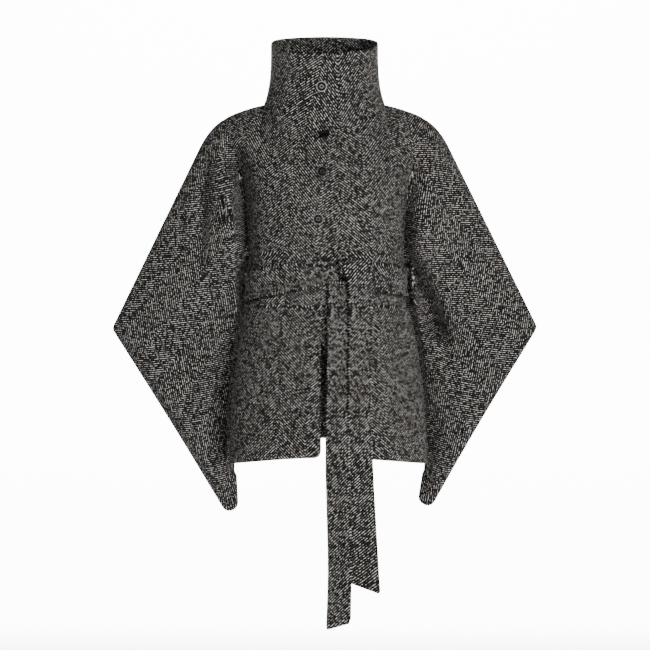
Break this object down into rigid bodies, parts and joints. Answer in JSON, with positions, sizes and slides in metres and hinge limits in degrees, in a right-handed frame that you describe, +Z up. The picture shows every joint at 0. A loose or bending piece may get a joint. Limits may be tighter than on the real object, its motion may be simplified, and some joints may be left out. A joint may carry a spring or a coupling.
{
  "type": "cape jacket",
  "caption": "Belted hip-length tweed cape jacket with wide pointed sleeves, a high funnel collar, lapped buttoned fronts and a tied cloth belt.",
  "frame": {"origin": "midway between the neck points of the two shoulder seams, where the jacket hangs on the wearer", "axes": "+Z up, the front faces -Y, +X is the wearer's left"},
  "size_m": [0.8474, 0.2946, 1.1615],
  "materials": {
    "herringbone_tweed": "matt wool",
    "black_button": "gloss"
  },
  "bodies": {
    "root": {"front_right": "herringbone_tweed", "front_left": "herringbone_tweed", "back": "herringbone_tweed", "sleeve_right_front": "herringbone_tweed", "sleeve_right_back": "herringbone_tweed", "sleeve_left_front": "herringbone_tweed", "sleeve_left_back": "herringbone_tweed", "collar": "herringbone_tweed", "belt_band": "herringbone_tweed", "belt_tail_under": "herringbone_tweed", "belt_tail_over": "herringbone_tweed", "belt_knot": "herringbone_tweed", "button_1": "black_button", "button_2": "black_button", "button_3": "black_button", "button_4": "black_button"}
  },
  "joints": []
}
